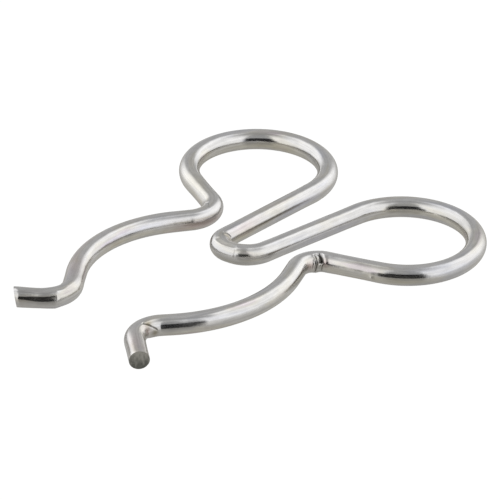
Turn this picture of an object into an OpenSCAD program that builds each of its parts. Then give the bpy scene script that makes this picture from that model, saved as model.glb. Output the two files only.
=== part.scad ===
// Wire spring clip that snaps onto a round pipe, bent flat from one length of round wire.
// It lies on the XY plane, with its two finger loops towards +X and its open mouth towards -X.
// Left is the +Y side. All bend radii are inside radii, as on the pins that the wire is bent around.

/* [Wire] */
// Diameter of the drawn wire
wire_d = 2; // [1.6:0.1:2.4]
// Growth of the wire's radius where the tooling upsets it at a bend
bend_swell = 0.02; // [0.01:0.01:0.06]
// Lean of the sheared face at the left end, with its top outwards, in degrees
left_lean = 10; // [0:1:15]
// Skew of the sheared face at the left end, with the side inside the tip's bend outwards, in degrees
left_skew = 7; // [0:1:15]
// Lean of the sheared face at the right end, with its top outwards, in degrees
right_lean = 4; // [0:1:15]
// Skew of the sheared face at the right end, with the side inside the tip's bend outwards, in degrees
right_skew = 0; // [0:1:15]

/* [Hairpin] */
// Straight length across the hairpin's closed end
hairpin_flat = 0.3; // [0.2:0.1:1.5]
// Skew of the closed end, in degrees
hairpin_skew = 12; // [0:1:20]
// Outward lean of each hairpin arm, in degrees
arm_splay = 3.5; // [1:0.5:6]

/* [Left side] */
// Bend radius of the hairpin on the left
left_hairpin_r = 0.8; // [0.5:0.1:2]
// Straight length of the left hairpin arm
left_arm = 12.5; // [10:0.1:15]
// Bend radius of the left finger loop
left_loop_r = 5.8; // [5:0.1:7]
// Turn of the left finger loop, in degrees
left_loop_turn = 244.5; // [235:0.5:250]
// Straight length from the left loop to the neck
left_neck_run = 4.2; // [2:0.1:6]
// Bend radius of the left neck
left_neck_r = 1.8; // [1:0.1:3]
// Turn of the left neck, in degrees
left_neck_turn = 99; // [90:1:105]
// Straight length from the left neck to the leg's bow
left_leg_in = 1.7; // [0.5:0.1:3]
// Bend radius of the left leg's bow, on the pipe's side
left_bow_r = 11.1; // [9:0.1:14]
// Turn of the left leg's bow, in degrees
left_bow_turn = 70; // [60:1:75]
// Straight length from the left leg's bow to the tip's bend
left_leg_out = 2.5; // [0.5:0.1:4]
// Bend radius of the left tip
left_tip_r = 1.9; // [1:0.1:3]
// Outward turn of the left tip, in degrees
left_tip_turn = 90; // [70:1:110]
// Straight length of the left tip
left_tip = 2.4; // [1.5:0.1:5]

/* [Right side] */
// Bend radius of the hairpin on the right
right_hairpin_r = 1.7; // [0.8:0.1:2.5]
// Straight length of the right hairpin arm
right_arm = 11.8; // [10:0.1:15]
// Bend radius of the right finger loop
right_loop_r = 5.9; // [5:0.1:7]
// Turn of the right finger loop, in degrees
right_loop_turn = 242.5; // [235:0.5:250]
// Straight length from the right loop to the neck
right_neck_run = 5.4; // [2:0.1:7]
// Bend radius of the right neck
right_neck_r = 1.2; // [1:0.1:3]
// Turn of the right neck, in degrees
right_neck_turn = 93; // [85:1:105]
// Straight length from the right neck to the leg's bow
right_leg_in = 1.9; // [0.5:0.1:3]
// Bend radius of the right leg's bow, on the pipe's side
right_bow_r = 12.9; // [9:0.1:15]
// Turn of the right leg's bow, in degrees
right_bow_turn = 64; // [55:1:75]
// Straight length from the right leg's bow to the tip's bend
right_leg_out = 0.8; // [0.3:0.1:4]
// Bend radius of the right tip
right_tip_r = 1.9; // [1:0.1:3]
// Outward turn of the right tip, in degrees
right_tip_turn = 90; // [70:1:110]
// Straight length of the right tip
right_tip = 3.5; // [1.5:0.1:5]

/* [Hidden] */
$fn = 64;
// Length by which a straight run reaches into the bends beside it
lap = 0.05;
// Degrees between the points by which the plan's outline is found
outline_step = 1;
wire_r = wire_d / 2;
swollen_r = wire_r + bend_swell;

left_hairpin_turn = 90 - arm_splay + hairpin_skew;
right_hairpin_turn = 90 - arm_splay - hairpin_skew;

// The bending order from the left end to the right one: straight run, bend radius, turn.
// A turn to the left is positive, and the last run ends in no bend.
bending = [
  [left_tip, left_tip_r, left_tip_turn],
  [left_leg_out, left_bow_r, -left_bow_turn],
  [left_leg_in, left_neck_r, left_neck_turn],
  [left_neck_run, left_loop_r, -left_loop_turn],
  [left_arm, left_hairpin_r, left_hairpin_turn],
  [hairpin_flat, right_hairpin_r, right_hairpin_turn],
  [right_arm, right_loop_r, -right_loop_turn],
  [right_neck_run, right_neck_r, right_neck_turn],
  [right_leg_in, right_bow_r, -right_bow_turn],
  [right_leg_out, right_tip_r, right_tip_turn],
  [right_tip, 0, 0],
];
last = len(bending) - 1;
// Place of the hairpin's closed end in that order
hairpin_index = 5;

function sum_turns(count) = count == 0 ? 0 : sum_turns(count - 1) + bending[count - 1][2];
function along(a) = [cos(a), sin(a)];
function to_left(a) = [-sin(a), cos(a)];

// Heading of a run, with the hairpin's closed end square across X but for its skew
first_heading = hairpin_skew - 90 - sum_turns(hairpin_index);
function heading(i) = first_heading + sum_turns(i);

// The wire's axis: where each run starts, where its bend starts and what the bend turns about
function axis_r(i) = bending[i][1] + wire_r;
function side(i) = sign(bending[i][2]);
function bend_from(i) = run_from(i) + bending[i][0] * along(heading(i));
function bend_centre(i) = bend_from(i) + side(i) * axis_r(i) * to_left(heading(i));
function run_from(i) =
  i == 0 ? [0, 0] : bend_centre(i - 1) - side(i - 1) * axis_r(i - 1) * to_left(heading(i));

// Slopes of a sheared face, outwards along the wire: towards the left of an observer who looks out of
// that end, and upwards. The side inside a tip's bend is on the right at the left end.
function face_slope(lean, skew) = [tan(skew), tan(lean) / cos(skew)];
left_slope = face_slope(left_lean, -left_skew);
right_slope = face_slope(right_lean, right_skew);

// Outline of the plan: both edges of every bend, and the rims of the two sheared faces
function bend_edges(i) = [
  for (turned = [0 : outline_step : abs(bending[i][2])])
    for (edge = [-swollen_r, swollen_r])
      bend_centre(i) - (axis_r(i) + edge) * side(i) * to_left(heading(i) + side(i) * turned)
];
function face_rim(point, outward, slope) = [
  for (turned = [0 : outline_step : 360 - outline_step])
    let (rim = [sin(turned), cos(turned)])
      point + wire_r * (rim.x * to_left(outward) + (slope * rim - norm(slope)) * along(outward))
];
outline = [
  for (i = [0 : last - 1]) each bend_edges(i),
  each face_rim(run_from(0), heading(0) + 180, left_slope),
  each face_rim(bend_from(last), heading(last), right_slope),
];
outline_x = [for (p = outline) p.x];
outline_y = [for (p = outline) p.y];
plan_centre = [(min(outline_x) + max(outline_x)) / 2, (min(outline_y) + max(outline_y)) / 2];

// A straight run of wire, which laps into the bends beside it
module straight(i) {
  before = i == 0 ? 0 : lap;
  after = i == last ? 0 : lap;
  p = run_from(i);
  translate([p.x, p.y, 0])
    rotate([0, 90, heading(i)])
      translate([0, 0, -before])
        cylinder(h = bending[i][0] + before + after, d = wire_d);
}

// A bend of the wire about its pin
module bend(i) {
  c = bend_centre(i);
  turn = bending[i][2];
  translate([c.x, c.y, 0])
    rotate([0, 0, heading(i) - 90 * side(i) + min(0, turn)])
      rotate_extrude(angle = abs(turn))
        translate([axis_r(i), 0])
          circle(r = swollen_r);
}

// What the shear takes off an end: a block beyond a face that keeps one point of its rim at full length
module sheared_off(point, outward, lean, skew) {
  block = 2 * wire_d;
  translate([point.x, point.y, 0])
    rotate([0, 0, outward])
      translate([-wire_r * norm(face_slope(lean, skew)), 0, 0])
        rotate([0, lean, -skew])
          translate([0, -block / 2, -block / 2])
            cube(block);
}

module clip_wire() {
  color("#b4b3b1")
    translate([-plan_centre.x, -plan_centre.y, swollen_r])
      difference() {
        union() {
          for (i = [0 : last]) straight(i);
          for (i = [0 : last - 1]) bend(i);
        }
        sheared_off(run_from(0), heading(0) + 180, left_lean, -left_skew);
        sheared_off(bend_from(last), heading(last), right_lean, right_skew);
      }
}

clip_wire();
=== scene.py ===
"""Looks of a wire spring clip, built round its CAD frame and shown in a plain studio.

The clip is one length of drawn spring-steel wire, zinc plated, bent flat into two legs, two finger
loops and a hairpin, and sheared off at both ends.
"""

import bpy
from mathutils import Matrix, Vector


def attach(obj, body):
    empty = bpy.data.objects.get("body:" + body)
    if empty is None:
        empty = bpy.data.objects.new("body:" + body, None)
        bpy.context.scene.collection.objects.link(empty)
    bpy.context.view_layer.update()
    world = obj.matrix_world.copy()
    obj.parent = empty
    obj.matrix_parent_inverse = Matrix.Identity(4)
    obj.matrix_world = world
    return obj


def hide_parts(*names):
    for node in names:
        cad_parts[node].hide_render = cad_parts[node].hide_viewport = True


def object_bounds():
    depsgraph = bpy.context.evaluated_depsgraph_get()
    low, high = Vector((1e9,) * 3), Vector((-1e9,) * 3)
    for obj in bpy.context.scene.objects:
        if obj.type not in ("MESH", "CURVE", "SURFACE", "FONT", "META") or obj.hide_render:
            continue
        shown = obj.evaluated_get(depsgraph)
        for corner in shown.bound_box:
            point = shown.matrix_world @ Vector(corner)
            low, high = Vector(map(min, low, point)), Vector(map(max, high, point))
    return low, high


bl_info = {
    "name": "Wire spring clip",
    "version": (1, 0, 0),
    "blender": (4, 5, 0),
    "location": "3D View > Sidebar > Clip",
    "description": "Builds a bent-wire spring clip and the plain studio that shows it",
    "category": "Object",
}

import math
from collections import namedtuple

import bpy
import numpy as np
from bpy.props import FloatProperty, FloatVectorProperty, IntProperty, PointerProperty
from mathutils import Matrix, Vector, noise

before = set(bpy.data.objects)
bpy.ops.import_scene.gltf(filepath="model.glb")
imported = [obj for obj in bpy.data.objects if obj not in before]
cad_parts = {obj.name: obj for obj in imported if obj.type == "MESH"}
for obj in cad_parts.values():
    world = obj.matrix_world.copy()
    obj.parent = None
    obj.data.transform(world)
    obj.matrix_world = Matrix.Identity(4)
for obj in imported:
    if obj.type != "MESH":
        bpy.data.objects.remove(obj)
CAD_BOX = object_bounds()

NODE = "clip_wire"
MM = 0.001


def srgb(code):
    """Linear colour of an sRGB hex code."""
    channels = [int(code[i:i + 2], 16) / 255 for i in (1, 3, 5)]
    return tuple(c / 12.92 if c <= 0.04045 else ((c + 0.055) / 1.055) ** 2.4 for c in channels)


def opaque(colour):
    """A colour property with full alpha, as shader sockets take it."""
    return (*colour, 1.0)


WHITE = srgb("#ffffff")
BLACK = srgb("#000000")


# Sizes and colours that a user would change

def length(name, description, size):
    """A length property, given in millimetres."""
    return FloatProperty(name=name, description=description, default=size * MM, min=0.0,
                         precision=5, subtype="DISTANCE", unit="LENGTH")


def turn(name, description, degrees):
    """An angle property, given in degrees."""
    return FloatProperty(name=name, description=description, default=math.radians(degrees),
                         subtype="ANGLE", unit="ROTATION")


def colour(name, description, code):
    """A colour property, given as an sRGB hex code."""
    return FloatVectorProperty(name=name, description=description, default=srgb(code), size=3,
                               min=0.0, max=1.0, subtype="COLOR")


def share(name, description, value):
    """A property from none to all of something."""
    return FloatProperty(name=name, description=description, default=value, min=0.0, max=1.0,
                         subtype="FACTOR")


def glow(name, description, value):
    """How bright a part of the studio is, with 1 for a white that just fills the picture's range."""
    return FloatProperty(name=name, description=description, default=value, min=0.0)


class ClipWireSizes(bpy.types.PropertyGroup):
    """The wire and its bending order, all bend radii being inside radii."""
    wire_d: length("Wire diameter", "Diameter of the drawn wire", 2.0)
    bend_swell: length("Bend swell", "Growth of the wire's radius at a bend", 0.02)
    left_lean: turn("Left end's lean", "Lean of the left end face, with its top outwards", 10)
    left_skew: turn("Left end's skew", "Skew of the left end face, the tip's inner side outwards", 7)
    right_lean: turn("Right end's lean", "Lean of the right end face, with its top outwards", 4)
    right_skew: turn("Right end's skew", "Skew of the right end face, the tip's inner side outwards", 0)
    sides: IntProperty(name="Sides", description="Points round the wire", default=96, min=24)
    hairpin_flat: length("Hairpin flat", "Straight across the hairpin's closed end", 0.3)
    hairpin_skew: turn("Hairpin skew", "Skew of the hairpin's closed end", 12)
    arm_splay: turn("Arm splay", "Outward lean of each hairpin arm", 3.5)
    left_tip: length("Left tip", "Straight length of the left tip", 2.4)
    left_tip_r: length("Left tip radius", "Bend radius of the left tip", 1.9)
    left_tip_turn: turn("Left tip turn", "Outward turn of the left tip", 90)
    left_leg_out: length("Left leg, outer", "Straight from the left tip's bend to the bow", 2.5)
    left_bow_r: length("Left bow radius", "Bend radius of the left leg's bow", 11.1)
    left_bow_turn: turn("Left bow turn", "Turn of the left leg's bow", 70)
    left_leg_in: length("Left leg, inner", "Straight from the left bow to the neck", 1.7)
    left_neck_r: length("Left neck radius", "Bend radius of the left neck", 1.8)
    left_neck_turn: turn("Left neck turn", "Turn of the left neck", 99)
    left_neck_run: length("Left neck run", "Straight from the left neck to the loop", 4.2)
    left_loop_r: length("Left loop radius", "Bend radius of the left finger loop", 5.8)
    left_loop_turn: turn("Left loop turn", "Turn of the left finger loop", 244.5)
    left_arm: length("Left arm", "Straight length of the left hairpin arm", 12.5)
    left_hairpin_r: length("Left hairpin radius", "Bend radius of the hairpin's left half", 0.8)
    right_hairpin_r: length("Right hairpin radius", "Bend radius of the hairpin's right half", 1.7)
    right_arm: length("Right arm", "Straight length of the right hairpin arm", 11.8)
    right_loop_r: length("Right loop radius", "Bend radius of the right finger loop", 5.9)
    right_loop_turn: turn("Right loop turn", "Turn of the right finger loop", 242.5)
    right_neck_run: length("Right neck run", "Straight from the right loop to the neck", 5.4)
    right_neck_r: length("Right neck radius", "Bend radius of the right neck", 1.2)
    right_neck_turn: turn("Right neck turn", "Turn of the right neck", 93)
    right_leg_in: length("Right leg, inner", "Straight from the right neck to the bow", 1.9)
    right_bow_r: length("Right bow radius", "Bend radius of the right leg's bow", 12.9)
    right_bow_turn: turn("Right bow turn", "Turn of the right leg's bow", 64)
    right_leg_out: length("Right leg, outer", "Straight from the right bow to the tip's bend", 0.8)
    right_tip_r: length("Right tip radius", "Bend radius of the right tip", 1.9)
    right_tip_turn: turn("Right tip turn", "Outward turn of the right tip", 90)
    right_tip: length("Right tip", "Straight length of the right tip", 3.5)


class ClipFinish(bpy.types.PropertyGroup):
    """Colours and gloss of the plated wire and of its sheared ends."""
    zinc: colour("Zinc", "Bright zinc plate", "#d9d8d7")
    mauve: colour("Mauve film", "Strongest cast of the passivate film", "#cbbebb")
    straw: colour("Straw film", "Yellow cast of the passivate film", "#d8d5cb")
    lilac: colour("Lilac film", "Blue cast of the passivate film", "#d0d1db")
    pale_rose: colour("Pale rose", "Faint pink drift of the film, over the plate's colour", "#fcf5f8")
    pale_straw: colour("Pale straw", "Faint yellow drift of the film", "#fffdf6")
    pale_blue: colour("Pale blue", "Faint blue drift of the film", "#f4f6fd")
    rose: colour("Rose film", "Pink cast of the passivate film", "#d9d1cf")
    # Painted shade: an olive-grey tint that dims the wire's mirrored light inside tight bends, along the
    # left neck and on the right tip's facet
    olive_painted_shade: colour("Olive film", "Dull film inside a tight bend", "#a59f91")
    dull: colour("Dull film", "Grey cast of the film, where it is thick", "#c3c2c0")
    # Painted reflection: not a tool's score, but a dark line that stands for the dark gap above the
    # floor, mirrored under a highlight
    painted_dark_line: colour("Score", "Dark line that a tool scored along the wire", "#8a837a")
    # Dark colour mixed into the bottom of each fold, the more the deeper a point lies in it
    grime: colour("Grime", "Dark unplated bottom of a fold", "#3f3b31")
    steel: colour("Sheared steel", "Bare steel where the shear cut it", "#c2c1bb")
    torn: colour("Torn steel", "Bare steel where the shear tore it", "#858681")
    zinc_roughness: share("Zinc roughness", "Micro-roughness of the plate", 0.15)
    steel_roughness: share("Steel roughness", "Micro-roughness of the sheared faces", 0.65)


class ClipStudio(bpy.types.PropertyGroup):
    """Plain soft light, floor and camera."""
    tent: glow("Tent", "Plain walls of the light tent", 0.51)
    top: glow("Top", "Plain ceiling of the light tent, over the camera too", 0.42)
    panel: glow("Side panels", "Lit panels at the camera's left and right", 1.20)
    far_panel: glow("Far ends", "Far ends of the lit panels, which lean in behind the clip", 1.36)
    slot: glow("Camera slot", "Dark slot in the tent round the camera", 0.02)
    floor: glow("Floor", "Glow of the lit floor as the wire mirrors it from above", 0.42)
    floor_low: glow("Floor, low", "Glow of the lit floor as the wire mirrors it at a low angle", 0.30)
    floor_tone: colour("Floor tone", "Tone of the lit floor in the wire", "#fffcf5")
    distance: length("Camera distance", "From the camera to the point it looks at", 572.2)
    focal: length("Focal length", "Focal length on a 36 mm frame", 427.92)
    bearing: turn("Bearing", "Direction in which the camera looks, from +X towards +Y", 44.755)
    elevation: turn("Elevation", "Height of the camera above the horizon", 28.689)
    roll: turn("Roll", "Turn of the camera about its line of sight", 0.979)


# Node trees

def bare_tree(owner):
    """The node tree of a new material or world, with nothing in it."""
    owner.use_nodes = True
    owner.node_tree.nodes.clear()
    return owner.node_tree


def add_node(tree, kind, settings=None, values=None, links=None):
    """Adds a node to a tree with its settings, its sockets' values and the links into it."""
    node = tree.nodes.new(kind)
    for key, value in (settings or {}).items():
        setattr(node, key, value)
    for socket, value in (values or {}).items():
        node.inputs[socket].default_value = value
    for socket, source in (links or {}).items():
        tree.links.new(source, node.inputs[socket])
    return node


# The wire's path, found from its bending order

def bending_order(w):
    """Name of each bend from the left end, the straight run before it, its inside radius and turn."""
    half = math.pi / 2 - w.arm_splay
    return (
        ("left_tip", w.left_tip, w.left_tip_r, w.left_tip_turn),
        ("left_bow", w.left_leg_out, w.left_bow_r, -w.left_bow_turn),
        ("left_neck", w.left_leg_in, w.left_neck_r, w.left_neck_turn),
        ("left_loop", w.left_neck_run, w.left_loop_r, -w.left_loop_turn),
        ("left_hairpin", w.left_arm, w.left_hairpin_r, half + w.hairpin_skew),
        ("right_hairpin", w.hairpin_flat, w.right_hairpin_r, half - w.hairpin_skew),
        ("right_loop", w.right_arm, w.right_loop_r, -w.right_loop_turn),
        ("right_neck", w.right_neck_run, w.right_neck_r, w.right_neck_turn),
        ("right_bow", w.right_leg_in, w.right_bow_r, -w.right_bow_turn),
        ("right_tip", w.right_leg_out, w.right_tip_r, w.right_tip_turn),
        ("right_end", w.right_tip, 0.0, 0.0),
    )


# Curvature below which a stretch of the wire counts as straight, per millimetre
LEAST_CURVATURE = 1e-9

# Places at which the plan's outline is found, and at which the curvature near a point is read
OUTLINE_PLACES = 8000
NEAR_PLACES = 41


class WirePath:
    """The wire's axis as straight runs and arcs, looked up by the length along it in millimetres."""

    def __init__(self, sizes):
        self.radius = sizes.wire_d / 2 / MM
        self.swell = sizes.bend_swell / MM
        steps = bending_order(sizes)
        names = [step[0] for step in steps]
        turns = [step[3] for step in steps]
        first = sizes.hairpin_skew - math.pi / 2 - sum(turns[:names.index("right_hairpin")])
        self.middle = {}
        starts, headings, curvatures, points = [], [], [], []
        along, heading, point = 0.0, first, np.zeros(2)
        for name, run, inside, angle in steps:
            radius = inside / MM + self.radius
            arc = abs(angle) * radius
            for reach, bend in ((run / MM, 0.0), (arc, math.copysign(1 / radius, angle))):
                if reach > 0:
                    starts.append(along)
                    headings.append(heading)
                    curvatures.append(bend)
                    points.append(point)
                    point = point + self.advance(heading, bend, reach)
                    heading += bend * reach
                    along += reach
            self.middle[name] = along - arc / 2
        self.end = along
        self.starts, self.headings = np.array(starts), np.array(headings)
        self.curvatures, self.points = np.array(curvatures), np.array(points)
        self.shift = np.zeros(2)
        box = np.array(CAD_BOX) / MM
        self.shift = np.array([box[1, 0], (box[0, 1] + box[1, 1]) / 2]) - self.anchor()

    @staticmethod
    def advance(heading, bend, reach):
        """The move along a run or arc of that heading and curvature."""
        straight = np.abs(bend) < LEAST_CURVATURE
        safe = np.where(straight, 1.0, bend)
        last = heading + bend * reach
        x = np.where(straight, reach * np.cos(heading), (np.sin(last) - np.sin(heading)) / safe)
        y = np.where(straight, reach * np.sin(heading), (np.cos(heading) - np.cos(last)) / safe)
        return np.stack([x, y], axis=-1)

    def piece(self, along):
        """Which run or arc each length lies on."""
        return np.clip(np.searchsorted(self.starts, along, side="right") - 1, 0, None)

    def at(self, along):
        """Point on the axis and heading there."""
        i = self.piece(along)
        reach = along - self.starts[i]
        points = self.points[i] + self.advance(self.headings[i], self.curvatures[i], reach)
        return points + self.shift, self.headings[i] + self.curvatures[i] * reach

    def curvature(self, along):
        """Curvature at each length, positive to the left."""
        return self.curvatures[self.piece(along)]

    def curvatures_near(self, along, reach):
        """Curvatures at even steps within a reach of each length."""
        steps = np.linspace(-reach, reach, NEAR_PLACES)
        return np.array([self.curvature(along + step) for step in steps])

    def anchor(self):
        """How far the wire's outline reaches in +X, and its middle in Y, which its loops set."""
        along = np.linspace(0, self.end, OUTLINE_PLACES)
        points, heading = self.at(along)
        left = np.stack([-np.sin(heading), np.cos(heading)], axis=-1)
        half = self.radius + np.where(self.curvature(along) == 0, 0, self.swell)
        reach = left * half[:, None]
        outline = np.concatenate([points + reach, points - reach])
        return np.array([outline[:, 0].max(), (outline[:, 1].min() + outline[:, 1].max()) / 2])


# Marks of the bending tools, stains of the plating bath and painted shade, in millimetres and degrees.
# Along is measured from the middle of the named bend towards the right end. Around is 0 on top of
# the wire and 90 on the side at the left of the way to the right end.
Fold = namedtuple("Fold", "bend line before after depth lip fade grime")
Flat = namedtuple("Flat", "bend along around length fade depth")
Swelling = namedtuple("Swelling", "bend along around reach spread height")
Stain = namedtuple("Stain", "bend along around reach spread tint")

# Sharp folds along a line across the wire, as wide as given before it and after it. Past the ends of its
# line a fold fades out over some degrees. One of negative depth is a ridge. The lips beside a fold are a
# share of its depth, and the last column is how much of the dark colour its bottom takes.
FOLDS = (
    Fold("left_tip", ((-0.94, -125), (-0.81, -75), (-0.72, -34)), 2.2, 1.5, -0.17, 0.0, 18, 0.0),
    Fold("left_tip", ((0.0, 60), (0.0, 140)), 1.3, 1.3, 0.28, 0.0, 45, 0.0),
    Fold("left_neck", ((-0.50, -6), (0.36, 20), (0.45, 70)), 0.2, 0.2, 0.05, 0.2, 12, 0.3),
    Fold("left_hairpin", ((-0.99, 18), (-1.34, 56)), 0.1, 0.3, 0.10, 0.2, 12, 0.6),
    Fold("right_hairpin", ((-1.14, -78), (-1.10, -46)), 0.08, 0.08, 0.03, 0.0, 8, 0.6),
    Fold("right_hairpin", ((-1.05, -78), (-1.02, -46)), 0.06, 1.4, -0.02, 0.0, 25, 0.0),
    Fold("right_neck", ((-1.05, 20), (-1.32, 50), (-1.42, 70)), 0.55, 0.60, 0.26, 0.15, 12, 1.0),
    Fold("right_neck", ((-0.50, 26), (-0.66, 50), (-0.74, 74), (-0.45, 111), (-0.38, 134)),
         0.17, 0.20, 0.13, 0.2, 12, 0.65),
    Fold("right_neck", ((-0.10, 58), (0.17, 100)), 0.12, 0.14, 0.05, 0.2, 12, 0.3),
    Fold("right_neck", ((0.98, 64), (0.88, 94)), 0.12, 0.12, 0.03, 0.2, 12, 0.2),
    Fold("right_neck", ((-1.64, 78), (-1.45, 122)), 0.15, 0.15, 0.09, 0.2, 12, 0.4),
    Fold("right_tip", ((0.05, 18), (-0.66, 54), (-1.33, 77)), 0.11, 0.45, 0.12, 0.0, 8, 0.9),
    Fold("right_tip", ((-0.15, 80), (-0.10, 150)), 1.2, 1.2, 0.17, 0.0, 35, 0.0),
)
# Flats that a tool pressed on the wire, as long as given and fading out beyond that
FLATS = (
    Flat("left_tip", -2.55, -65, 3.4, 0.4, 0.030),
    Flat("right_hairpin", -2.28, -55, 2.1, 0.2, 0.036),
    Flat("right_hairpin", -2.28, -17, 2.1, 0.4, 0.053),
    Flat("right_loop", 12.70, 72, 4.2, 2.0, 0.018),
    Flat("right_tip", -4.30, 72, 5.2, 2.0, 0.024),
    Flat("right_end", -0.10, 128, 0.5, 1.0, 0.04),
)
# Soft bumps, or dents where the height is negative
SWELLINGS = (
    Swelling("left_tip", -2.65, 22, 1.10, 60, -0.04),
    Swelling("left_tip", -1.90, -155, 1.20, 34, -0.07),
    Swelling("right_hairpin", -0.90, -62, 0.50, 60, 0.10),
    Swelling("right_hairpin", -0.27, -62, 0.50, 60, 0.10),
    Swelling("left_neck", -5.00, -64, 1.80, 60, 0.10),
    Swelling("left_loop", 2.00, -66, 0.90, 40, 0.03),
    Swelling("right_loop", 9.20, 100, 1.80, 30, 0.03),
    Swelling("right_loop", 15.12, 104, 0.30, 12, 0.10),
    Swelling("right_bow", 4.00, 62, 1.50, 45, 0.20),
    Swelling("right_loop", -12.3, -62, 0.90, 40, -0.04),
    Swelling("right_neck", -0.60, 126, 0.50, 32, 0.13),
    Swelling("right_neck", -0.95, 60, 0.18, 30, 0.05),
    Swelling("right_tip", 0.20, 66, 0.55, 26, -0.09),
)
# Patches of tint on the film, with the finish's name for each: casts that the plating bath left, olive
# painted shade that dims the mirrored light in tight bends and on the right tip, and painted dark
# reflection lines under the highlights of the hairpin's arms
STAINS = (
    Stain("left_tip", -3.10, -38, 2.2, 34, "dull"),
    Stain("left_tip", 4.20, 12, 2.2, 45, "rose"),
    Stain("left_bow", 2.00, -98, 6.0, 18, "straw"),
    Stain("left_bow", 1.50, -62, 4.0, 14, "lilac"),
    Stain("left_neck", -2.00, -94, 2.3, 26, "mauve"),
    # Painted shade: thin darker marks along the left neck
    Stain("left_neck", -3.60, -69, 1.2, 3, "olive_painted_shade"),
    Stain("left_neck", -1.30, -63, 1.2, 3, "olive_painted_shade"),
    Stain("left_neck", 5.00, 10, 2.6, 70, "straw"),
    Stain("left_loop", 0.00, -98, 7.0, 24, "straw"),
    Stain("left_hairpin", -11.5, 82, 3.0, 18, "lilac"),
    Stain("left_hairpin", -3.60, 45, 2.2, 26, "rose"),
    Stain("left_hairpin", -3.00, 94, 1.8, 18, "straw"),
    # Painted reflection: dark line under the left arm's highlight
    Stain("left_hairpin", -7.50, 77, 5.0, 4, "painted_dark_line"),
    # Painted shade dimming the bright mirrored patch inside the hairpin's tight bend
    Stain("left_hairpin", -0.60, 45, 0.5, 36, "olive_painted_shade"),
    Stain("right_hairpin", -1.50, -110, 2.0, 30, "dull"),
    # Painted reflection: dark line under the right arm's highlight
    Stain("right_hairpin", 2.40, -74, 2.0, 4, "painted_dark_line"),
    Stain("right_hairpin", 9.00, -104, 4.5, 26, "lilac"),
    Stain("right_loop", -5.50, -88, 6.0, 22, "straw"),
    Stain("right_loop", -1.00, -44, 1.6, 26, "dull"),
    Stain("right_loop", 12.90, 102, 3.0, 20, "straw"),
    Stain("right_neck", -5.90, 35, 1.5, 22, "dull"),
    Stain("right_neck", -2.20, 98, 2.4, 24, "straw"),
    Stain("right_neck", -2.00, 70, 0.4, 24, "mauve"),
    Stain("right_neck", 0.70, 82, 0.9, 26, "mauve"),
    # Painted shade on the right tip's facet
    Stain("right_tip", -0.35, 34, 0.50, 16, "olive_painted_shade"),
    Stain("right_tip", -1.05, 97, 0.5, 24, "olive_painted_shade"),
    Stain("right_tip", 0.25, 72, 0.6, 26, "mauve"),
    Stain("right_end", -1.90, -8, 1.8, 36, "rose"),
)

# Stretches where marks need close rings: from and to, from the middle of a bend, and the spacing
CLOSE_RINGS = (
    ("left_tip", -4.5, 1.5, 0.06),
    ("left_neck", -4.5, 3.0, 0.08),
    ("left_hairpin", -2.4, 5.4, 0.06),
    ("right_loop", 14.4, 16.2, 0.06),
    ("right_neck", -2.4, 2.0, 0.03),
    ("right_tip", -2.0, 2.0, 0.05),
    ("right_end", -0.9, 0.0, 0.06),
)
# Spacing of the rings elsewhere, and a stretch too short to hold one
RING_STEP = 0.40
LEAST_STRETCH = 1e-6

# Rings across each end face, as shares of the wire's radius, and the hair's breadth between them
FACE_RINGS = (0.94, 0.86, 0.76, 0.64, 0.52, 0.40, 0.28, 0.16, 0.0)
FACE_STEP = 0.0005

# Distance within which the points in the middle of an end face become one, in metres
POLE_MERGE = 1e-8


def ring_places(path):
    """Lengths along the wire at which its rings stand."""
    stretches = sorted((path.middle[bend] + start, path.middle[bend] + stop, step)
                       for bend, start, stop, step in CLOSE_RINGS)
    places, here = [], 0.0
    for start, stop, step in stretches + [(path.end, path.end, RING_STEP)]:
        for reach, spacing in ((max(start, here) - here, RING_STEP), (stop - max(start, here), step)):
            count = max(1, round(reach / spacing)) if reach > LEAST_STRETCH else 0
            places.extend(here + reach * i / count for i in range(count))
            here += max(reach, 0.0)
    return np.array(places + [path.end])


def path_mesh(path):
    """The path as a chain of edges, which also turns in over both end faces."""
    places = ring_places(path)
    inward = np.array(FACE_RINGS)
    steps = FACE_STEP * (1 + np.arange(len(inward)))
    along = np.concatenate([-steps[::-1], places, path.end + steps])
    girth = np.concatenate([inward[::-1], np.ones(len(places)), inward])
    points, _ = path.at(along)
    height = CAD_BOX[0][2] / MM + path.radius + path.swell
    mesh = bpy.data.meshes.new("wire_path")
    vertices = [(x * MM, y * MM, height * MM) for x, y in points]
    mesh.from_pydata(vertices, [(i, i + 1) for i in range(len(vertices) - 1)], [])
    for name, values in (("along", along), ("girth", girth)):
        mesh.attributes.new(name, "FLOAT", "POINT").data.foreach_set("value", values)
    return mesh


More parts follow.
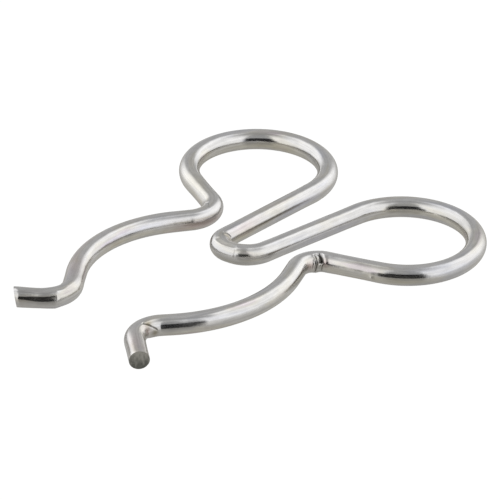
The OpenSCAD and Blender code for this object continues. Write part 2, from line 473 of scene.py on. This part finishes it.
def sweep_tree():
    """Geometry Nodes tree that carries a round section along the path."""
    tree = bpy.data.node_groups.new("Drawn wire", "GeometryNodeTree")
    tree.is_modifier = True
    for name, kind in (("Path", "NodeSocketGeometry"), ("Wire radius", "NodeSocketFloat"),
                       ("Sides", "NodeSocketInt"), ("Plate", "NodeSocketMaterial")):
        tree.interface.new_socket(name, in_out="INPUT", socket_type=kind)
    tree.interface.new_socket("Wire", in_out="OUTPUT", socket_type="NodeSocketGeometry")
    given = add_node(tree, "NodeGroupInput")
    girth = add_node(tree, "GeometryNodeInputNamedAttribute", values={"Name": "girth"})
    curve = add_node(tree, "GeometryNodeMeshToCurve", links={"Mesh": given.outputs["Path"]})
    level = add_node(tree, "GeometryNodeSetCurveNormal", {"mode": "Z_UP"},
                     links={"Curve": curve.outputs["Curve"]})
    section = add_node(tree, "GeometryNodeCurvePrimitiveCircle", {"mode": "RADIUS"},
                       links={"Resolution": given.outputs["Sides"],
                              "Radius": given.outputs["Wire radius"]})
    sweep = add_node(tree, "GeometryNodeCurveToMesh",
                     links={"Curve": level.outputs["Curve"],
                            "Profile Curve": section.outputs["Curve"],
                            "Scale": girth.outputs["Attribute"]})
    poles = add_node(tree, "GeometryNodeMergeByDistance", values={"Distance": POLE_MERGE},
                     links={"Geometry": sweep.outputs["Mesh"]})
    smooth = add_node(tree, "GeometryNodeSetShadeSmooth",
                      links={"Geometry": poles.outputs["Geometry"]})
    real = add_node(tree, "GeometryNodeRealizeInstances",
                    links={"Geometry": smooth.outputs["Geometry"]})
    plate = add_node(tree, "GeometryNodeSetMaterial",
                     links={"Geometry": real.outputs["Geometry"],
                            "Material": given.outputs["Plate"]})
    add_node(tree, "NodeGroupOutput", links={"Wire": plate.outputs["Geometry"]})
    return tree


def swept_mesh(path, sizes, plate):
    """The plain wire as a mesh, straight from the tree."""
    tree = sweep_tree()
    carrier = bpy.data.objects.new("wire_path", path_mesh(path))
    bpy.context.collection.objects.link(carrier)
    modifier = carrier.modifiers.new("Drawn wire", "NODES")
    modifier.node_group = tree
    given = {item.name: item.identifier for item in tree.interface.items_tree
             if item.item_type == "SOCKET" and item.in_out == "INPUT"}
    modifier[given["Wire radius"]] = sizes.wire_d / 2
    modifier[given["Sides"]] = sizes.sides
    modifier[given["Plate"]] = plate
    shaped = carrier.evaluated_get(bpy.context.evaluated_depsgraph_get())
    mesh = bpy.data.meshes.new_from_object(shaped)
    carrier.modifiers.remove(modifier)
    bpy.data.objects.remove(carrier)
    return mesh


def ease(x):
    """Rises smoothly from 0 to 1 as its argument does."""
    x = np.clip(x, 0, 1)
    return x * x * (3 - 2 * x)


def window(x, low, high, fade):
    """1 between low and high, easing to 0 over the fade beyond them."""
    return ease(np.minimum(x - low, high - x) / fade + 1)


def around_from(angle, centre):
    """Angle from a centre, in degrees, from -180 to 180."""
    return (angle - centre + 180) % 360 - 180


# Wave lengths by which the edges of a flat wander, in millimetres, and the share of each
WANDER = ((2.3, 0.6), (1.1, 0.4))


def wander(along):
    """An uneven wave along the wire, for edges that no tool leaves dead straight."""
    return sum(part * np.sin(2 * math.pi * along / wave + wave) for wave, part in WANDER)


def soft_patch(mark, path, along, around):
    """Weight of a mark: 1 at its middle, fading out over its reach and its spread."""
    off = (along - path.middle[mark.bend] - mark.along) / mark.reach
    turned = around_from(around, mark.around) / mark.spread
    return np.exp(-off * off - turned * turned)


# Where the lip beside a fold is highest, and how broad it is, as shares of the fold's width
LIP_PLACE = 1.1
LIP_BREADTH = 0.4


def fold_valley(fold, path, along, around):
    """How deep each point lies in a fold, from 0 to 1, and how far it lies on one of its lips."""
    alongs, arounds = zip(*fold.line)
    off = along - path.middle[fold.bend] - np.interp(around, arounds, alongs)
    off = np.where(off < 0, -off / fold.before, off / fold.after)
    fade = window(around, arounds[0], arounds[-1], fold.fade)
    lip = np.exp(-((off - LIP_PLACE) / LIP_BREADTH) ** 2)
    return np.clip(1 - off, 0, 1) ** 2 * fade, lip * fade


# How uneven a flat is, as a share of its depth
UNEVEN = 0.08

# Cosine below which a plane no longer cuts the wire, far round from its middle
LEAST_COSINE = 0.2


def flat_reach(flat, path, along, around):
    """How far from the axis a flat lets the surface reach."""
    off = along - path.middle[flat.bend] - flat.along
    pressed = window(off, -flat.length / 2, flat.length / 2, flat.fade)
    depth = flat.depth * pressed * (1 + UNEVEN * wander(along))
    turned = np.radians(around_from(around, flat.around))
    return (path.radius + path.swell - depth) / np.maximum(np.cos(turned), LEAST_COSINE)


# Length over which the swell of a bend dies out along a straight run
SWELL_EASE = 1.5

# Length over which the stretch of a bend dies out
STRAIN_EASE = 0.9

# What the facets of the frame's round section cut off it
FACET = 0.006

# How far from an end its slope is taken up, how far its edge rolls over at the left end and at the
# right one, on which side, and how far back that reaches
SLOPE_REACH = 1.8
ROLL_OVER = (0.15, 0.02)
ROLL_SIDE = -50
ROLL_BACK = 0.50


def shear(path, along, around, girth, sizes):
    """Moves along the wire and out from its axis that its sheared ends need."""
    move, roll = np.zeros_like(along), np.zeros_like(along)
    up, left = np.cos(np.radians(around)), np.sin(np.radians(around))
    rolled = np.clip(np.cos(np.radians(around - ROLL_SIDE)), 0, 1)
    ends = ((0.0, -1.0, sizes.left_lean, sizes.left_skew),
            (path.end, 1.0, sizes.right_lean, sizes.right_skew))
    for (end, outward, lean, skew), roll_over in zip(ends, ROLL_OVER):
        back = np.clip((end - along) * outward, 0, None)
        rise, swing = math.tan(lean) / math.cos(skew), math.tan(skew)
        short = path.radius * (math.hypot(rise, swing) - girth * (rise * up + swing * left))
        move -= outward * ease(1 - back / SLOPE_REACH) * short
        roll -= np.clip(1 - back / ROLL_BACK, 0, 1) ** 2 * roll_over * rolled
    return move, roll


def read(mesh, name):
    """A float attribute of a mesh's points."""
    values = np.empty(len(mesh.vertices), dtype=np.float32)
    mesh.attributes[name].data.foreach_get("value", values)
    return values.astype(float)


# Share of the wire's radius below which a point lies on an end face
FULL_GIRTH = 0.999

# The torn grain of an end face: its height and how far it lies inside the rim, in millimetres, how many
# grains there are to a millimetre, and the dimension, step and number of its finer layers
TORN_HEIGHT = 0.035
TORN_BELOW = 0.02
TORN_PER_MM = 3.1
TORN_LAYERS = (0.9, 2.2, 3)


def torn_height(place):
    """Height of the torn grain of an end face at a place on it, in millimetres."""
    return TORN_HEIGHT * noise.fractal(Vector(place) * TORN_PER_MM, *TORN_LAYERS) - TORN_BELOW


def form_wire(mesh, path, sizes, finish):
    """Swells the bends, presses the tool marks in, shears the ends and notes where each point lay."""
    along, girth = read(mesh, "along"), read(mesh, "girth")
    points, heading = path.at(along)
    left = np.stack([-np.sin(heading), np.cos(heading)], axis=-1)
    ahead = np.stack([np.cos(heading), np.sin(heading)], axis=-1)
    axis_z = CAD_BOX[0][2] / MM + path.radius + path.swell
    places = np.empty(len(mesh.vertices) * 3)
    mesh.vertices.foreach_get("co", places)
    places = places.reshape(-1, 3) / MM
    across = np.einsum("ij,ij->i", places[:, :2] - points, left)
    around = np.degrees(np.arctan2(across, places[:, 2] - axis_z))
    bent = np.mean(path.curvatures_near(along, SWELL_EASE) != 0, axis=0)
    # Half of what lies near the first point of a bend is bent, and there the swell is full
    out = path.radius - FACET + path.swell * ease(2 * bent)
    hollow = np.zeros_like(along)
    for flat in FLATS:
        out = np.minimum(out, flat_reach(flat, path, along, around))
    for swelling in SWELLINGS:
        out = out + swelling.height * soft_patch(swelling, path, along, around)
    for fold in FOLDS:
        valley, lip = fold_valley(fold, path, along, around)
        out = out + fold.depth * (fold.lip * lip - valley)
        # How much of the dark colour, and of the added roughness, each point at a fold's bottom takes
        hollow = np.maximum(hollow, valley * fold.grime)
    sine, cosine = np.sin(np.radians(around)), np.cos(np.radians(around))
    # Nothing stands above or below the wire as it lies
    out = np.minimum(out, (path.radius + path.swell - FACET) / np.maximum(np.abs(cosine), LEAST_COSINE))
    move, roll = shear(path, along, around, girth, sizes)
    out = (out + roll) * girth
    # Where each point lay on the straight wire before bending, for patterns that follow the wire
    drawn = np.column_stack([along, out * sine, out * cosine])
    # The torn grain of the two end faces
    for i in np.flatnonzero(girth < FULL_GIRTH):
        outward = 1 if along[i] > path.end / 2 else -1
        move[i] += outward * torn_height(drawn[i])
    plan = points + left * (out * sine)[:, None] + ahead * move[:, None]
    formed = np.column_stack([plan, axis_z + out * cosine]) * MM
    mesh.vertices.foreach_set("co", formed.ravel())
    # How far the bend stretched the plate: 1 on the outside of a bend as tight as the wire is thick
    curvature = path.curvatures_near(along, STRAIN_EASE).mean(axis=0)
    strain = np.clip(-curvature * sine * path.radius * 2, 0, 1)
    film = np.tile(np.array(finish.zinc), (len(along), 1))
    # The film's tints: casts of the plating bath, olive painted shade and painted dark reflection lines
    for stain in STAINS:
        weight = soft_patch(stain, path, along, around)[:, None]
        film = film * (1 - weight) + np.array(getattr(finish, stain.tint)) * weight
    tints = np.column_stack([film, np.ones(len(film))])
    for name, kind, field, values in (("drawn", "FLOAT_VECTOR", "vector", drawn),
                                      ("strain", "FLOAT", "value", strain),
                                      ("hollow", "FLOAT", "value", hollow),
                                      ("film", "FLOAT_COLOR", "color", tints)):
        mesh.attributes.new(name, kind, "POINT").data.foreach_set(field, values.ravel())
    return girth


def bare_ends(mesh, girth, steel):
    """Gives the end faces the bare steel and a crisp rim."""
    mesh.materials.append(steel)
    sides = {}
    for polygon in mesh.polygons:
        if min(girth[i] for i in polygon.vertices) < FULL_GIRTH:
            polygon.material_index = 1
        for key in polygon.edge_keys:
            sides.setdefault(key, set()).add(polygon.material_index)
    rims = [len(sides[edge.key]) > 1 for edge in mesh.edges]
    mesh.attributes.new("sharp_edge", "BOOLEAN", "EDGE").data.foreach_set("value", rims)


# Finishes

# Size of each pattern of the plate along and across the wire, in millimetres, and how fine its detail
# goes. Die lines are some 0.01 mm apart, too fine to show, so they are drawn 0.15 mm apart.
PLATE_PATTERNS = {
    "drift": (6.0, 1.2, 3.0),
    "lines": (6.0, 0.15, 3.0),
    "waves": (1.6, 0.8, 2.0),
    "mottle": (0.9, 0.45, 4.0),
    "grain": (0.25, 0.4, 2.0),
}

# What a noise pattern keeps between for the most part
NOISE_SWING = {"From Min": 0.3, "From Max": 0.7}

# How far the mottle and the die lines shade the plate, and how far the lines change its roughness
MOTTLE_SHADE = {"To Min": 0.93, "To Max": 1.05}
LINE_SHADE = {"To Min": 0.86, "To Max": 1.05}
LINE_ROUGHNESS = (-0.03, 0.04)

# What a full stretch and the bottom of a fold add to the roughness
STRAIN_ROUGHNESS = 0.08
FOLD_ROUGHNESS = 0.3

# Heights of the plate's fine relief, in millimetres
WAVE_HEIGHT = 0.020
LINE_HEIGHT = 0.002
GRAIN_HEIGHT = 0.02


def zinc_plate(finish):
    """Bright zinc plate with a clear passivate film, on wire drawn through a die.

    It mirrors the room in clear bands, with faint straw, rose and blue casts from the film, a faint
    mottle, and fine lines along the wire from the die. The plate is a little dull and grained where a
    bend stretched it, and dark at the bottom of the folds.
    """
    material = bpy.data.materials.new("bright_zinc_plate_on_drawn_wire")
    tree = bare_tree(material)
    place, strain, hollow, film = (add_node(tree, "ShaderNodeAttribute", {"attribute_name": name})
                                   for name in ("drawn", "strain", "hollow", "film"))
    noises = {}
    for name, (length_mm, width_mm, detail) in PLATE_PATTERNS.items():
        scaled = add_node(tree, "ShaderNodeMapping",
                          values={"Scale": (1 / length_mm, 1 / width_mm, 1 / width_mm)},
                          links={"Vector": place.outputs["Vector"]})
        pattern = add_node(tree, "ShaderNodeTexNoise", values={"Scale": 1.0, "Detail": detail},
                           links={"Vector": scaled.outputs["Vector"]})
        noises[name] = pattern.outputs["Fac"]
    # The film drifts through its faint casts
    drift = add_node(tree, "ShaderNodeValToRGB", links={"Fac": noises["drift"]})
    stops = ((0.30, finish.pale_blue), (0.44, WHITE), (0.52, WHITE), (0.60, finish.pale_straw),
             (0.70, finish.pale_rose))
    while len(drift.color_ramp.elements) < len(stops):
        drift.color_ramp.elements.new(0.5)
    for element, (position, tint) in zip(drift.color_ramp.elements, stops):
        element.position = position
        element.color = opaque(tint)
    # The film attribute holds the bath's casts together with painted shade and painted dark reflection
    # lines
    filmed = add_node(tree, "ShaderNodeMix", {"data_type": "RGBA", "blend_type": "MULTIPLY"},
                      values={"Factor": 1.0},
                      links={"A": film.outputs["Color"], "B": drift.outputs["Color"]})
    # The mottle and the die lines shade the plate a little
    mottle = add_node(tree, "ShaderNodeMapRange", values={**NOISE_SWING, **MOTTLE_SHADE},
                      links={"Value": noises["mottle"]})
    lines = add_node(tree, "ShaderNodeMapRange", values={**NOISE_SWING, **LINE_SHADE},
                     links={"Value": noises["lines"]})
    shade = add_node(tree, "ShaderNodeMath", {"operation": "MULTIPLY"},
                     links={0: mottle.outputs["Result"], 1: lines.outputs["Result"]})
    shaded = add_node(tree, "ShaderNodeMix", {"data_type": "RGBA", "blend_type": "MULTIPLY"},
                      values={"Factor": 1.0},
                      links={"A": filmed.outputs["Result"], "B": shade.outputs["Value"]})
    # Folds are dark and rough at the bottom, and stretched plate is a little dull
    tint = add_node(tree, "ShaderNodeMix", {"data_type": "RGBA"}, values={"B": opaque(finish.grime)},
                    links={"Factor": hollow.outputs["Fac"], "A": shaded.outputs["Result"]})
    least, most = (finish.zinc_roughness + change for change in LINE_ROUGHNESS)
    worn = add_node(tree, "ShaderNodeMapRange",
                    values={**NOISE_SWING, "To Min": least, "To Max": most},
                    links={"Value": noises["lines"]})
    dulled = add_node(tree, "ShaderNodeMath", {"operation": "MULTIPLY_ADD"},
                      values={1: STRAIN_ROUGHNESS},
                      links={0: strain.outputs["Fac"], 2: worn.outputs["Result"]})
    roughness = add_node(tree, "ShaderNodeMath", {"operation": "MULTIPLY_ADD"},
                         values={1: FOLD_ROUGHNESS},
                         links={0: hollow.outputs["Fac"], 2: dulled.outputs["Value"]})
    # Stretching raises a grain on the outside of a bend
    raised = add_node(tree, "ShaderNodeMath", {"operation": "MULTIPLY"},
                      links={0: noises["grain"], 1: strain.outputs["Fac"]})
    normal = {}
    reliefs = ((noises["waves"], WAVE_HEIGHT), (noises["lines"], LINE_HEIGHT),
               (raised.outputs["Value"], GRAIN_HEIGHT))
    for relief, height in reliefs:
        bump = add_node(tree, "ShaderNodeBump", values={"Strength": 1.0, "Distance": height * MM},
                        links={"Height": relief, **normal})
        normal = {"Normal": bump.outputs["Normal"]}
    shader = add_node(tree, "ShaderNodeBsdfPrincipled", values={"Metallic": 1.0},
                      links={"Base Color": tint.outputs["Result"],
                             "Roughness": roughness.outputs["Value"], **normal})
    add_node(tree, "ShaderNodeOutputMaterial", links={"Surface": shader.outputs["BSDF"]})
    return material


# Streaks of a sheared face: how wide, long and deep they are, in millimetres, and how fine
STREAK_WIDTH = 0.22
STREAK_LENGTH = 0.7
STREAK_DEPTH = 0.05
STREAK_DETAIL = 4.0

# How much a millimetre of height counts beside the streaks, where the torn part ends by that measure
# and where the cut part begins
CUT_PER_MM = 0.4
TORN_UP_TO = 0.25
CUT_FROM = 0.75


def sheared_steel(finish):
    """Bare spring steel as the shear leaves it.

    The upper part, where the blade cut, is mid grey. Below it the steel tore, and is dark. The whole
    face is rough, with streaks the way the blade went.
    """
    material = bpy.data.materials.new("sheared_spring_steel")
    tree = bare_tree(material)
    place = add_node(tree, "ShaderNodeAttribute", {"attribute_name": "drawn"})
    streak_place = add_node(tree, "ShaderNodeMapping",
                            values={"Scale": (1.0, 1 / STREAK_WIDTH, 1 / STREAK_LENGTH)},
                            links={"Vector": place.outputs["Vector"]})
    streaks = add_node(tree, "ShaderNodeTexNoise", values={"Scale": 1.0, "Detail": STREAK_DETAIL},
                       links={"Vector": streak_place.outputs["Vector"]})
    heights = add_node(tree, "ShaderNodeSeparateXYZ", links={"Vector": place.outputs["Vector"]})
    cut = add_node(tree, "ShaderNodeMath", {"operation": "MULTIPLY_ADD"}, values={1: CUT_PER_MM},
                   links={0: heights.outputs["Z"], 2: streaks.outputs["Fac"]})
    tones = add_node(tree, "ShaderNodeValToRGB", links={"Fac": cut.outputs["Value"]})
    tones.color_ramp.elements[0].position = TORN_UP_TO
    tones.color_ramp.elements[0].color = opaque(finish.torn)
    tones.color_ramp.elements[1].position = CUT_FROM
    tones.color_ramp.elements[1].color = opaque(finish.steel)
    rough = add_node(tree, "ShaderNodeBump", values={"Strength": 1.0, "Distance": STREAK_DEPTH * MM},
                     links={"Height": streaks.outputs["Fac"]})
    shader = add_node(tree, "ShaderNodeBsdfPrincipled",
                      values={"Metallic": 1.0, "Roughness": finish.steel_roughness},
                      links={"Base Color": tones.outputs["Color"], "Normal": rough.outputs["Normal"]})
    add_node(tree, "ShaderNodeOutputMaterial", links={"Surface": shader.outputs["BSDF"]})
    return material


# The studio

# The tent's lights, each fading in from the first angle of a pair to the second, in degrees: how far
# aside from the camera to either hand, the turn from the camera, positive to the right in the picture,
# and the height above the horizon. The slot's foot reaches further to the left than to the right.
WALLS = (("aside", 90, 150), ("height", 85, 65))
PANELS = (("aside", 23, 35), ("aside", 162, 134), ("height", -16, 17), ("height", 84, 48))
FAR_PANELS = (*PANELS, ("aside", 100, 130))
CAMERA_SLOT = (("aside", 32, 24), ("height", 40, 31))
SLOT_FOOT = (("turn", 31, 23), ("turn", -42, -33), ("height", 24, 14))


def light_tent(studio):
    """World light of a pale tent with two lit side panels and a dark slot for the camera."""
    world = bpy.data.worlds.new("light_tent")
    tree = bare_tree(world)
    way = add_node(tree, "ShaderNodeTexCoord")
    # Turned so that the camera is at +X
    turned = add_node(tree, "ShaderNodeMapping", {"vector_type": "POINT"},
                      values={"Rotation": (0, 0, math.pi - studio.bearing)},
                      links={"Vector": way.outputs["Generated"]})
    axes = add_node(tree, "ShaderNodeSeparateXYZ", links={"Vector": turned.outputs["Vector"]})
    azimuth = add_node(tree, "ShaderNodeMath", {"operation": "ARCTAN2"},
                       links={0: axes.outputs["Y"], 1: axes.outputs["X"]})
    aside = add_node(tree, "ShaderNodeMath", {"operation": "ABSOLUTE"},
                     links={0: azimuth.outputs["Value"]})
    height = add_node(tree, "ShaderNodeMath", {"operation": "ARCSINE"},
                      links={0: axes.outputs["Z"]})
    angles = {"turn": azimuth.outputs["Value"], "aside": aside.outputs["Value"],
              "height": height.outputs["Value"]}
    below = {}
    for light, steps in ((studio.tent, WALLS), (studio.panel, PANELS),
                         (studio.far_panel, FAR_PANELS), (studio.slot, CAMERA_SLOT),
                         (studio.slot, SLOT_FOOT)):
        whole = {}
        for angle, low, high in steps:
            step = add_node(tree, "ShaderNodeMapRange", {"interpolation_type": "SMOOTHSTEP"},
                            values={"From Min": math.radians(low), "From Max": math.radians(high)},
                            links={"Value": angles[angle], **whole})
            whole = {"To Max": step.outputs["Result"]}
        layer = add_node(tree, "ShaderNodeMapRange", values={"To Min": studio.top, "To Max": light},
                         links={"Value": step.outputs["Result"], **below})
        below = {"To Min": layer.outputs["Result"]}
    glow_there = add_node(tree, "ShaderNodeBackground", values={"Color": opaque(WHITE)},
                          links={"Strength": layer.outputs["Result"]})
    add_node(tree, "ShaderNodeOutputWorld", links={"Surface": glow_there.outputs["Background"]})
    return world


def disc(name, radii_heights, sides=96):
    """A round sheet through rings of the given radii and heights, in metres."""
    vertices, faces = [(0, 0, radii_heights[0][1])], []
    for ring, (radius, height) in enumerate(radii_heights):
        for i in range(sides):
            angle = 2 * math.pi * i / sides
            vertices.append((radius * math.cos(angle), radius * math.sin(angle), height))
            this, following = 1 + ring * sides + i, 1 + ring * sides + (i + 1) % sides
            if ring == 0:
                faces.append((0, this, following))
            else:
                faces.append((this - sides, this, following, following - sides))
    mesh = bpy.data.meshes.new(name)
    mesh.from_pydata(vertices, [], faces)
    sheet = bpy.data.objects.new(name, mesh)
    bpy.context.collection.objects.link(sheet)
    return sheet


def lit_sheet(name, paint, light, glow_above, glow_low, roughness, ior):
    """White acrylic sheet lit from behind, which can glow less at a low angle."""
    material = bpy.data.materials.new(name)
    tree = bare_tree(material)
    angle = add_node(tree, "ShaderNodeLayerWeight")
    glow_there = add_node(tree, "ShaderNodeMapRange", values={"To Min": glow_above, "To Max": glow_low},
                          links={"Value": angle.outputs["Facing"]})
    shader = add_node(tree, "ShaderNodeBsdfPrincipled",
                      values={"Base Color": opaque(paint), "Roughness": roughness, "IOR": ior,
                              "Emission Color": opaque(light)},
                      links={"Emission Strength": glow_there.outputs["Result"]})
    add_node(tree, "ShaderNodeOutputMaterial", links={"Surface": shader.outputs["BSDF"]})
    return material


# The white sheet: the radius of its inmost ring, of its flat part and of its curve, the height of its
# rim, in metres, and the steps of the curve. Its paint adds little to its glow.
SHEET_RING = 0.5
SHEET_FLAT = 1.5
SHEET_CURVE = 0.5
SHEET_RIM = 2.5
SHEET_STEPS = 6
SHEET_PAINT = srgb("#404040")

# The sheet in the wire's mirror: its depth under the floor and its radius, in metres
MIRRORED_DEPTH = 0.0001
MIRRORED_RADIUS = 3.0

# Point on the floor in the middle of the picture, in metres
LOOK_AT = (2.95 * MM, 0.35 * MM, 0.0)

# Width of the camera's frame, in millimetres, and how near the camera can see, in metres
FRAME_WIDTH = 36.0
NEAREST = 0.01


def set_camera(studio):
    """Camera at the photograph's viewing angle."""
    data = bpy.data.cameras.new("camera")
    data.sensor_width = FRAME_WIDTH
    data.lens = studio.focal / MM
    data.clip_start = NEAREST
    camera = bpy.data.objects.new("camera", data)
    bpy.context.collection.objects.link(camera)
    level = math.cos(studio.elevation)
    forward = Vector((math.cos(studio.bearing) * level, math.sin(studio.bearing) * level,
                      -math.sin(studio.elevation)))
    right = Vector((math.sin(studio.bearing), -math.cos(studio.bearing), 0.0))
    upward = right.cross(forward)
    tilted = right * math.cos(studio.roll) + upward * math.sin(studio.roll)
    raised = upward * math.cos(studio.roll) - right * math.sin(studio.roll)
    place = Vector(LOOK_AT) - forward * studio.distance
    axes = Matrix((tilted, raised, -forward)).transposed()
    camera.matrix_world = Matrix.Translation(place) @ axes.to_4x4()
    bpy.context.scene.camera = camera


# Operators

class CLIP_OT_build_wire(bpy.types.Operator):
    """Sweeps the wire along its bending order and gives it its tool marks and finish"""
    bl_idname = "clip.build_wire"
    bl_label = "Build the wire"

    def execute(self, context):
        sizes, finish = context.scene.clip_wire_sizes, context.scene.clip_finish
        path = WirePath(sizes)
        mesh = swept_mesh(path, sizes, zinc_plate(finish))
        mesh.name = "plated_wire"
        girth = form_wire(mesh, path, sizes, finish)
        bare_ends(mesh, girth, sheared_steel(finish))
        wire = bpy.data.objects.new("plated_wire", mesh)
        context.collection.objects.link(wire)
        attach(wire, "root")
        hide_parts(NODE)
        return {"FINISHED"}


class CLIP_OT_set_stage(bpy.types.Operator):
    """Sets the pale floor, the light tent and the camera"""
    bl_idname = "clip.set_stage"
    bl_label = "Set the stage"

    def execute(self, context):
        studio = context.scene.clip_studio
        context.scene.world = light_tent(studio)
        context.scene.view_settings.view_transform = "Standard"
        # The camera sees a white sheet that curves up all round
        turns = [math.radians(90 * (i + 1) / SHEET_STEPS) for i in range(SHEET_STEPS)]
        rise = [(SHEET_FLAT + SHEET_CURVE * math.sin(angle),
                 SHEET_CURVE - SHEET_CURVE * math.cos(angle)) for angle in turns]
        floor = disc("floor", [(SHEET_RING, 0.0), (SHEET_FLAT, 0.0), *rise,
                               (SHEET_FLAT + SHEET_CURVE, SHEET_RIM)])
        floor.data.materials.append(lit_sheet("white_sheet", paint=SHEET_PAINT, light=WHITE,
                                              glow_above=1.0, glow_low=1.0, roughness=1.0, ior=1.0))
        floor.visible_glossy = False
        floor.visible_diffuse = False
        floor.visible_shadow = False
        # The wire mirrors the same floor less brightly, so that the floor can be white and the wire grey
        mirrored = disc("floor_in_the_wire", [(SHEET_RING, -MIRRORED_DEPTH),
                                              (MIRRORED_RADIUS, -MIRRORED_DEPTH)])
        mirrored.data.materials.append(lit_sheet("lit_sheet", paint=BLACK, light=studio.floor_tone,
                                                 glow_above=studio.floor, glow_low=studio.floor_low,
                                                 roughness=0.2, ior=2.0))
        mirrored.visible_camera = False
        set_camera(studio)
        return {"FINISHED"}


GROUPS = {"clip_wire_sizes": ClipWireSizes, "clip_finish": ClipFinish, "clip_studio": ClipStudio}
OPERATORS = (CLIP_OT_build_wire, CLIP_OT_set_stage)


class CLIP_PT_panel(bpy.types.Panel):
    """Sizes, finish and studio of the clip"""
    bl_idname = "CLIP_PT_panel"
    bl_label = "Wire spring clip"
    bl_space_type = "VIEW_3D"
    bl_region_type = "UI"
    bl_category = "Clip"

    def draw(self, context):
        for name, group in GROUPS.items():
            box = self.layout.box()
            for value in group.__annotations__:
                box.prop(getattr(context.scene, name), value)
        for operator in OPERATORS:
            self.layout.operator(operator.bl_idname)


CLASSES = (*GROUPS.values(), *OPERATORS, CLIP_PT_panel)


def register():
    for cls in CLASSES:
        bpy.utils.register_class(cls)
    for name, group in GROUPS.items():
        setattr(bpy.types.Scene, name, PointerProperty(type=group))


def unregister():
    for name in GROUPS:
        delattr(bpy.types.Scene, name)
    for cls in reversed(CLASSES):
        bpy.utils.unregister_class(cls)


def main():
    register()
    bpy.ops.clip.build_wire()
    bpy.ops.clip.set_stage()


if __name__ == "__main__":
    main()
